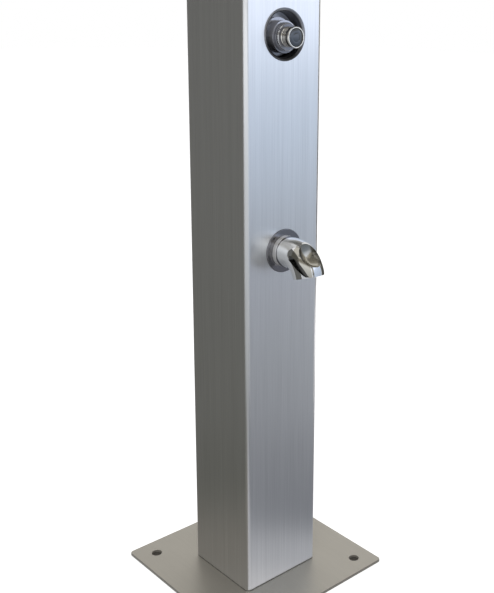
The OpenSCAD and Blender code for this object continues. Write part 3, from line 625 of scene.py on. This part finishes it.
collar = {
    "outer": 16.0, "inner": 14.25, "from": 3.0, "chamfer": 0.5, "shoulder": 0.55,
    "lipFrom": 6.0, "lipTo": 6.7, "lipOuter": 15.7, "lipInner": 12.15, "lipEdge": (0.3, 0.25),
    "teeth": 40, "tooth": 0.6, "paintSlack": 0.05,
    # The drawn-in lines lie past this radius and below this height, near the ends of a step
    "band": (15.7, 5.8), "nearEnd": 0.05,
}


def makeCollar(c):
    edgeIn, edgeDown = c["lipEdge"]
    ring = turnOnLathe([
        (c["inner"], c["from"]), (c["outer"] - c["chamfer"], c["from"]),
        (c["outer"], c["from"] + c["chamfer"]), (c["outer"], c["lipFrom"] - c["chamfer"]),
        (c["outer"] - c["shoulder"], c["lipFrom"]), (c["lipOuter"], c["lipFrom"]),
        (c["lipOuter"], c["lipTo"] - edgeDown), (c["lipOuter"] - edgeIn, c["lipTo"]),
        (c["lipInner"], c["lipTo"]), (c["lipInner"], c["lipFrom"]), (c["inner"], c["lipFrom"])],
        sides=4 * c["teeth"])
    # Every fourth upright line is drawn in to leave the teeth
    bpy.context.view_layer.objects.active = ring
    bpy.ops.object.mode_set(mode="EDIT")
    step = 2 * math.pi / c["teeth"]
    bandFrom, bandTop = c["band"]
    pickVerts(ring, lambda co: co.xy.length > bandFrom * mm and co.z < bandTop * mm
              and abs((math.atan2(co.y, co.x) / step) % 1 - 0.5) > 0.5 - c["nearEnd"])
    shrink = (c["outer"] - c["tooth"]) / c["outer"]
    bpy.ops.transform.resize(value=(shrink, shrink, 1), center_override=(0, 0, 0))
    bpy.ops.object.mode_set(mode="OBJECT")
    settle(standOnFace(ring, valveHeight), "knurledCollar")
    softenEdges(ring, angle=25)
    dress(ring, finishes["collarSteel"], nodes=("knurled_collar",))
    # Painted shade: the collar's front faces get the bonnet's dark copy of the metal
    front = faceY - c["lipTo"] + c["paintSlack"]
    paintFaces(ring, finishes["bonnetSteelPaintedShade"], lambda at: at.y < front)


button = {
    "body": 12.0, "lip": 12.6, "front": 21.0, "back": 4.5, "seat": 10.75, "seatIn": 3.4,
    "seatEdge": (0.35, 0.3), "spigot": 10.2, "spigotFront": 15.2, "stem": 3.05,
    "neck": ((0, 6.9), (-0.75, 7.5), (-0.75, 8.5), (-0.1, 9.1)),
    "lineHeights": (10.2, 11.45, 12.7, 13.95), "line": ((-0.1, 0), (-0.28, 0.2), (-0.1, 0.4)),
    "barrelEnd": (-0.1, 17.1),
    "lipShape": ((-0.15, -3.1), (0, -2.8), (0, -0.9), (-0.2, -0.35), (-0.7, 0)),
}


def makeButton(c):
    front, body, seat = c["front"], c["body"], c["seat"]
    edgeOut, edgeDown = c["seatEdge"]
    lines = [point for height in c["lineHeights"] for point in around(body, height, c["line"])]
    cap = turnOnLathe([
        (c["spigot"], c["back"]), (body, c["back"]), *around(body, 0, c["neck"]), *lines,
        *around(body, 0, [c["barrelEnd"]]), *around(c["lip"], front, c["lipShape"]),
        (seat + edgeOut, front), (seat, front - edgeDown), (seat, front - c["seatIn"]),
        (c["stem"], front - c["seatIn"]), (c["stem"], c["spigotFront"]),
        (c["spigot"], c["spigotFront"])])
    settle(standOnFace(cap, valveHeight), "buttonCap")
    softenEdges(cap)
    dress(cap, finishes["satinCap"], nodes=("push_button",), body="button")


face = {
    "radius": 10.7, "back": 17.6, "front": 21.0,
    "dome": ((10.7, -1.4), (10.35, -0.75), (9.7, -0.35), (9.0, -0.3), (8.4, -0.15), (7.4, 0.15),
             (6.4, 0.2), (5.4, 0.05), (5.25, 0.06), (4.5, 0.44), (4.2, 0.48), (2.0, 0.6),
             (0.6, 0.64)),
}


def makeButtonFace(c):
    disc = turnOnLathe([(c["radius"], c["back"]), *around(0, c["front"], c["dome"])], solid=True)
    settle(standOnFace(disc, valveHeight), "buttonFace")
    softenEdges(disc, angle=50)
    dress(disc, finishes["darkChromePaintedReflection"], nodes=("button_disc",), body="button")


makeRecess(recess)
makeBonnet(bonnet)
makeCollar(collar)
makeButton(button)
makeButtonFace(face)
print("stage: recess and button")


# Spout: disc, collar and the turned-down end with its scoop and rails
spout = {
    "height": 469.5, "radius": 20.0, "fit": 0.05,
    "disc": 28.0, "discOut": 1.5, "discEdge": ((0, 0.6), (-0.25, 1.1), (-0.9, 1.5)),
    "joint": 7.5, "jointEdge": ((0, -0.45), (-0.12, -0.2), (-0.4, 0)), "collarEdge": 0.3,
    "spigot": 16.5, "spigotOut": 6.0, "tail": 10.45, "tailIn": -24.0, "tailEdge": (0.5, 0.6),
    # The line of the bar, and the small steps at its ends
    "straight": 20.0, "bend": 28.0, "angle": 75.0, "end": 3.0,
    "startStep": 0.35, "endStep": 0.3, "stepRun": 0.05, "merge": 0.02, "edge": 0.28,
    # The bores, with how far their cutters pass the ends
    "bore": 7.0, "boreEnds": (2, -4), "mouth": 9.5, "mouthIn": 6.0, "mouthOver": 4,
    "socketOver": 2,
    # The ball of the scoop, half the space between the rails, and where the rails' painted reflection
    # is
    "scoop": 25.4, "scoopAngle": 44.0, "rail": 14.2, "railFrom": 9.0, "railStart": 36.0,
    # The pockets: an arc below the rails, and a slanting floor from the start down to the lip
    "pocketHalf": 12.0, "pocketDepth": 10.0, "pocketStart": 33.0,
    "arc": 43.6, "arcOut": 23.5, "arcDrop": 38.8, "low": 2.0, "lipOut": 59.4, "lipLow": 18.9,
    # How near a face must be to a surface to be painted
    "slack": 0.05, "sideSlack": 0.02,
}


def makeSpoutDisc(c):
    hole = c["tail"] + c["fit"]
    disc = turnOnLathe([(hole, 0), (c["disc"], 0), *around(c["disc"], 0, c["discEdge"]),
                        (hole, c["discOut"])], sides=160)
    settle(standOnFace(disc, c["height"]), "spoutDisc")
    softenEdges(disc, angle=40)
    dress(disc, finishes["flangeSteelPaintedReflection"], nodes=("spout_flange",))


def makeSpoutCollar(c):
    radius, edge, spigotEnd = c["radius"], c["collarEdge"], c["joint"] + c["spigotOut"]
    edgeIn, edgeLong = c["tailEdge"]
    ring = turnOnLathe([
        (c["bore"], c["tailIn"]), (c["tail"] - edgeIn, c["tailIn"]),
        (c["tail"], c["tailIn"] + edgeLong), (c["tail"], c["discOut"]),
        (radius - edge, c["discOut"]), (radius, c["discOut"] + edge),
        *around(radius, c["joint"], c["jointEdge"]), (c["spigot"], c["joint"]),
        (c["spigot"], spigotEnd), (c["bore"], spigotEnd)], sides=160)
    settle(standOnFace(ring, c["height"]), "spoutCollar")
    softenEdges(ring)
    dress(ring, finishes["brightChromePaintedHighlight"], nodes=("spout_collar",))


def bendPoint(c, angle, reach):
    # The point at an angle and a reach from the centre of the bend
    turn = math.radians(angle)
    return (0, faceY - c["straight"] - reach * math.sin(turn),
            c["height"] - c["bend"] + reach * math.cos(turn))


def bentBar(c, radius, start, end, sides, steps, startStep=0.0, endStep=0.0):
    # A round bar along the spout's own line, from a distance out of the face to one past the bend
    clearSelection()
    bpy.ops.mesh.primitive_circle_add(
        vertices=sides, radius=(radius - startStep) * mm, fill_type="NGON",
        location=(0, (faceY - start) * mm, c["height"] * mm), rotation=(math.radians(90), 0, 0))
    bar = bpy.context.active_object
    bpy.ops.object.transform_apply(location=True, rotation=True)
    bpy.ops.object.mode_set(mode="EDIT")
    bpy.ops.mesh.select_all(action="SELECT")
    if startStep:
        grow = radius / (radius - startStep)
        extrudeBy((0, -startStep * mm, 0))
        bpy.ops.transform.resize(value=(grow, 1, grow), center_override=(0, 0, c["height"] * mm))
        start += startStep
    run = (c["straight"] - start) / steps
    for _ in range(steps):
        extrudeBy((0, -run * mm, 0))
    turn = math.radians(c["angle"])
    centre = [value * mm for value in bendPoint(c, 0, 0)]
    bpy.ops.mesh.spin(steps=3 * steps, angle=turn, center=centre, axis=(-1, 0, 0))
    flow = Vector((0, -math.cos(turn), -math.sin(turn)))
    tip = Vector([value * mm for value in bendPoint(c, c["angle"], c["bend"])])
    for length, scale in ((c["stepRun"], 1 - endStep / radius), (end - c["stepRun"], 1.0)):
        tip = tip + flow * length * mm
        extrudeBy(flow * length * mm)
        bpy.ops.transform.resize(value=(scale,) * 3, center_override=tip)
    bpy.ops.object.mode_set(mode="OBJECT")
    fixNormals(bar)
    return bar


def sidePoint(c, out, up):
    # A point in metres on the middle plane, out of the face and up from the spout's line
    return Vector((0, (faceY - out) * mm, (c["height"] + up) * mm))


def pocketCutter(c, side):
    # The space under a rail: below the rail's arc and above a slanting line
    half = c["pocketDepth"] / 2
    place = (side * (c["pocketHalf"] + half), faceY - c["arcOut"], c["height"] - c["arcDrop"])
    bar = roundBar(c["arc"], -half, half, place, (0, 90, 0), sides=360)
    start = sidePoint(c, c["pocketStart"], -c["low"])
    lip = sidePoint(c, c["lipOut"], -c["lipLow"])
    slope = (lip - start).normalized()
    below = Vector((0, slope.z, -slope.y))
    below = below if below.z < 0 else -below
    planes = ((start, Vector((0, 1, 0))), (start, below), (lip, Vector((0, 0, -1))))
    bpy.ops.object.mode_set(mode="EDIT")
    for point, normal in planes:
        bpy.ops.mesh.select_all(action="SELECT")
        bpy.ops.mesh.bisect(plane_co=point, plane_no=normal, use_fill=True, clear_outer=True)
    bpy.ops.object.mode_set(mode="OBJECT")
    fixNormals(bar)
    return bar


def makeSpoutBody(c):
    # The ball of the scoop cuts the surface of the bar where the rails start on both sides
    level = c["bend"] + math.sqrt(c["radius"] ** 2 - c["rail"] ** 2)
    reach = level + math.sqrt(c["scoop"] ** 2 - c["rail"] ** 2)
    middle = Vector(bendPoint(c, c["scoopAngle"], reach))
    body = bentBar(c, c["radius"], c["joint"], c["end"], sides=160, steps=16,
                   startStep=c["startStep"], endStep=c["endStep"])
    clearSelection()
    bpy.ops.mesh.primitive_uv_sphere_add(segments=192, ring_count=96, radius=c["scoop"] * mm,
                                         location=middle * mm)
    ball = bpy.context.active_object
    bpy.ops.object.transform_apply(location=True)
    boreStart, boreEnd = c["boreEnds"]
    passage = bentBar(c, c["bore"], c["joint"] + boreStart, c["end"] + boreEnd, sides=64,
                      steps=8)
    mouth = roundBar(c["mouth"], c["end"] - c["mouthIn"], c["end"] + c["mouthOver"],
                     bendPoint(c, c["angle"], c["bend"]), (90 + c["angle"], 0, 0))
    socket = roundBar(c["spigot"] + c["fit"], c["joint"] - c["socketOver"],
                      c["joint"] + c["spigotOut"] + c["socketOver"], (0, faceY, c["height"]),
                      (90, 0, 0), sides=128)
    cutWith(body, ball, pocketCutter(c, -1), pocketCutter(c, 1), socket, mouth, passage)
    settle(body, "spoutBody")
    fixNormals(body, merge=c["merge"])
    softenEdges(body, width=c["edge"], segments=3, angle=32)
    dress(body, finishes["chrome"], nodes=("spout_body",))
    arcMiddle = Vector((0, faceY - c["arcOut"], c["height"] - c["arcDrop"]))

    def pastBall(at):
        return (at - middle).length - c["scoop"]

    def pastArc(at):
        return (at - arcMiddle).yz.length - c["arc"]

    def isRail(at):
        return (abs(at.x) > c["railFrom"] and at.y < faceY - c["railStart"]
                and pastArc(at) > c["slack"] and pastBall(at) > c["slack"])

    def isPocket(at):
        deeper = abs(at.x) - c["pocketHalf"]
        return (deeper > -c["sideSlack"] and at.y < faceY - c["pocketStart"]
                and (abs(deeper) < c["sideSlack"] or abs(pastArc(at)) < c["slack"]))

    # Painted reflection and shade: the scoop, the rails and the pockets get darker copies of the
    # chrome
    paintFaces(body, finishes["scoopChrome"], lambda at: abs(pastBall(at)) < c["slack"])
    paintFaces(body, finishes["railChromePaintedReflection"], isRail)
    paintFaces(body, finishes["pocketChromePaintedShade"], isPocket)


makeSpoutDisc(spout)
makeSpoutCollar(spout)
makeSpoutBody(spout)
print("stage: spout")


# CAD nodes that stay, with the finish each one gets
keptNodes = {
    "rubber": ("cover_gasket", "valve_gasket", "stem_seal", "piston_seal", "cap_seal",
               "spout_seal"),
    "brightSteel": ("rivet_nuts", "button_stem", "return_spring", "lever_nut", "supply_pipe",
                    "pipe_clips", "delivery_pipe", "grub_screw", "spout_washer"),
    "brass": ("cup_locknut", "piston", "inlet_elbow", "stop_stem", "supply_nuts",
              "inlet_fitting", "delivery_nuts", "spout_elbow", "spout_locknut"),
    "valveSteel": ("valve_body", "valve_ring_nut"),
    "chrome": ("valve_rear_cap", "hose_nuts", "stop_valve_body", "stop_valve_end", "stop_ball"),
    "whitePlastic": ("ball_seats",),
    "greyPlastic": ("flow_insert",),
    "redPaint": ("stop_lever",),
    "braid": ("supply_hose",),
}
for finishName, nodeNames in keptNodes.items():
    for nodeName in nodeNames:
        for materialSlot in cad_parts[nodeName].material_slots:
            materialSlot.material = finishes[finishName]


# Studio
studio = {
    "floor": {"size": 30, "tone": (0.80, 0.80, 0.80), "glow": 0.66, "roughness": 0.9,
              "specular": 0.1, "underPlateShade": (0.10, 0.09, 0.08), "margin": 0.001},
    "world": 0.5, "backdrop": 1.0, "aim": (0, 0, 0.45),
    "lamps": {
        "keySoftbox": {"place": (-1.6, -1.6, 2.4), "size": (1.6, 1.6), "power": 26},
        "fillSoftbox": {"place": (2.2, 1.0, 2.0), "size": (1.6, 1.6), "power": 9},
    },
    # Cards that only the metal sees, from their front, with tones along their own Y
    "cards": {
        "rightCard": {
            "place": (0.272, -0.568, 0.60), "size": (0.68, 1.2), "turn": (90, 0, -135), "tones": (
                (0.0, (0.315, 0.33, 0.36)), (0.13, (0.335, 0.36, 0.40)), (0.22, (0.38, 0.40, 0.46)),
                (0.30, (0.42, 0.47, 0.545)), (0.40, (0.54, 0.62, 0.75)), (0.48, (0.62, 0.72, 0.88)),
                (0.54, (0.69, 0.795, 0.965)), (0.65, (1.16, 1.27, 1.51)), (0.73, (1.18, 1.29, 1.50)),
                (0.80, (0.48, 0.46, 0.41)), (1.0, (0.34, 0.33, 0.29)))},
        "rightFloorCard": {
            "place": (0.21, -0.21, 0.006), "size": (1.5, 0.594), "turn": (0, 0, 45), "tones": (
                (0.0, (0.315, 0.33, 0.365)), (0.40, (0.235, 0.245, 0.27)), (0.66, (0.21, 0.22, 0.245)),
                (0.84, (0.43, 0.44, 0.47)), (1.0, (0.58, 0.58, 0.60)))},
        "leftCard": {
            "place": (-0.42, 0.42, 0.60), "size": (1.5, 1.2), "turn": (90, 0, 45), "tones": (
                (0.0, (0.14, 0.14, 0.13)), (0.5, (0.15, 0.15, 0.143)), (1.0, (0.14, 0.14, 0.135)))},
        "leftFloorCard": {
            "place": (-0.21, 0.21, 0.006), "size": (1.5, 0.594), "turn": (0, 0, -135), "tones": (
                (0.0, (0.14, 0.14, 0.13)), (0.5, (0.12, 0.12, 0.108)), (0.85, (0.19, 0.18, 0.16)),
                (1.0, (0.21, 0.20, 0.18)))},
        "cornerCard": {
            "place": (-0.46, -0.46, 0.70), "size": (0.95, 1.4), "turn": (90, 0, 135), "tones": (
                (0.0, (0.28, 0.29, 0.30)), (0.08, (0.50, 0.52, 0.54)), (0.3, (0.60, 0.62, 0.65)),
                (0.45, (0.95, 0.99, 1.04)), (0.56, (1.2, 1.24, 1.3)), (0.62, (0.36, 0.34, 0.30)),
                (0.72, (0.30, 0.29, 0.25)), (0.77, (1.2, 1.22, 1.25)), (0.83, (1.2, 1.22, 1.25)),
                (0.88, (0.10, 0.10, 0.11)), (1.0, (0.08, 0.08, 0.085)))},
        "sideCard": {
            "place": (0.80, -0.07, 0.60), "size": (0.68, 0.9), "turn": (90, 0, -90), "tones": (
                (0.0, (0.05, 0.05, 0.045)), (0.35, (0.10, 0.10, 0.09)), (0.6, (0.24, 0.23, 0.20)),
                (1.0, (0.34, 0.33, 0.29)))},
        "frontCard": {
            "place": (0.12, -1.15, 0.70), "size": (0.9, 1.4), "turn": (90, 0, 180), "tones": (
                (0.0, (0.27, 0.28, 0.30)), (0.04, (0.31, 0.33, 0.36)), (0.18, (0.56, 0.61, 0.70)),
                (0.26, (0.74, 0.82, 0.95)), (0.36, (0.98, 1.03, 1.12)), (0.40, (0.98, 1.03, 1.12)),
                (0.47, (0.18, 0.18, 0.17)), (0.58, (0.45, 0.44, 0.40)), (0.68, (0.45, 0.44, 0.40)),
                (0.76, (0.12, 0.12, 0.125)), (1.0, (0.08, 0.08, 0.09)))},
        "topCard": {
            "place": (0.6, 0.35, 1.5), "size": (1.25, 3.4), "turn": (180, 0, 0), "tones": (
                (0.0, (0.60, 0.60, 0.57)), (0.32, (0.44, 0.43, 0.39)), (0.41, (0.55, 0.54, 0.50)),
                (0.48, (0.9, 0.9, 0.9)), (0.56, (0.30, 0.29, 0.26)), (0.68, (0.20, 0.19, 0.17)),
                (0.78, (0.16, 0.16, 0.15)), (0.86, (0.06, 0.06, 0.06)), (1.0, (0.05, 0.05, 0.055)))},
    },
}
white = (1, 1, 1, 1)


def seenRays(tree):
    # One where the ray comes from the camera, a reflection or through glass
    rays = addNode(tree, "ShaderNodeLightPath", {}).outputs
    near = addMath(tree, "MAXIMUM", rays["Is Camera Ray"], rays["Is Glossy Ray"])
    return addMath(tree, "MAXIMUM", near, rays["Is Transmission Ray"])


def makeFloorPaint(floor):
    # Lit paint plus a glow that only seen rays meet, so the floor is white and keeps the shadow.
    # Under the plate it is painted dark as shade, and has no glow
    paint = bpy.data.materials.new("studioFloor")
    paint.use_nodes = True
    tree = paint.node_tree
    plateEdge = plate["width"] / 2 * mm - floor["margin"]
    clear = addMath(tree, "GREATER_THAN", widestOf(tree, "XY"), plateEdge)
    level = addMath(tree, "MULTIPLY", clear, seenRays(tree))
    tone = addNode(tree, "ShaderNodeMix", {
        0: clear, 6: (*floor["underPlateShade"], 1), 7: (*floor["tone"], 1)}, data_type="RGBA")
    feed(tree, tree.nodes["Principled BSDF"], {
        "Base Color": tone.outputs[2], "Roughness": floor["roughness"],
        "Specular IOR Level": floor["specular"], "Emission Color": white,
        "Emission Strength": addMath(tree, "MULTIPLY", level, floor["glow"])})
    return paint


def cardPaint(name, tones):
    # A soft run of tones up the card's own Y
    paint = bpy.data.materials.new(name)
    paint.use_nodes = True
    tree = paint.node_tree
    tree.nodes.remove(tree.nodes["Principled BSDF"])
    split = addNode(tree, "ShaderNodeSeparateXYZ", {0: objectPlace(tree)})
    ramp = addNode(tree, "ShaderNodeValToRGB", {"Fac": addMath(tree, "ADD", split.outputs["Y"], 0.5)})
    ramp.color_ramp.interpolation = "EASE"
    stops = ramp.color_ramp.elements
    for stop, (at, tone) in zip(stops, (tones[0], tones[-1])):
        stop.position, stop.color = at, (*tone, 1)
    for at, tone in tones[1:-1]:
        stops.new(at).color = (*tone, 1)
    glow = addNode(tree, "ShaderNodeEmission", {"Color": ramp.outputs["Color"]})
    # Seen from behind, a card isn't there
    side = addNode(tree, "ShaderNodeNewGeometry", {})
    through = addNode(tree, "ShaderNodeBsdfTransparent", {})
    mix = addNode(tree, "ShaderNodeMixShader", {
        "Fac": side.outputs["Backfacing"], 1: glow.outputs["Emission"], 2: through.outputs["BSDF"]})
    feed(tree, tree.nodes["Material Output"], {"Surface": mix.outputs["Shader"]})
    return paint


def makeFloor(c):
    clearSelection()
    bpy.ops.mesh.primitive_plane_add(size=c["size"], location=(0, 0, 0))
    floor = bpy.context.active_object
    floor.name = "studioFloor"
    floor.data.materials.append(makeFloorPaint(c))


def makeCards(cards):
    for name, card in cards.items():
        clearSelection()
        bpy.ops.mesh.primitive_plane_add(size=1, location=card["place"],
                                         rotation=[math.radians(angle) for angle in card["turn"]])
        flat = bpy.context.active_object
        flat.name = name
        flat.scale = (*card["size"], 1)
        flat.data.materials.append(cardPaint(name, card["tones"]))
        flat.visible_camera = flat.visible_diffuse = False
        flat.visible_shadow = flat.visible_transmission = False


def makeWorld(c):
    world = bpy.data.worlds.new("studioWorld")
    world.use_nodes = True
    tree = world.node_tree
    light = feed(tree, tree.nodes["Background"], {"Color": white, "Strength": c["world"]})
    backdrop = addNode(tree, "ShaderNodeBackground", {"Color": white, "Strength": c["backdrop"]})
    mix = addNode(tree, "ShaderNodeMixShader", {
        "Fac": seenRays(tree), 1: light.outputs["Background"], 2: backdrop.outputs["Background"]})
    feed(tree, tree.nodes["World Output"], {"Surface": mix.outputs["Shader"]})
    bpy.context.scene.world = world


def makeLamps(c):
    for name, lamp in c["lamps"].items():
        data = bpy.data.lights.new(name, "AREA")
        data.shape = "RECTANGLE"
        data.size, data.size_y = lamp["size"]
        data.energy = lamp["power"]
        light = bpy.data.objects.new(name, data)
        light.location = lamp["place"]
        light.rotation_mode = "QUATERNION"
        toAim = Vector(c["aim"]) - Vector(lamp["place"])
        light.rotation_quaternion = toAim.to_track_quat("-Z", "Y")
        light.visible_glossy = False
        bpy.context.scene.collection.objects.link(light)


makeFloor(studio["floor"])
makeCards(studio["cards"])
makeWorld(studio)
makeLamps(studio)
bpy.context.scene.view_settings.view_transform = "Standard"
print("stage: studio")
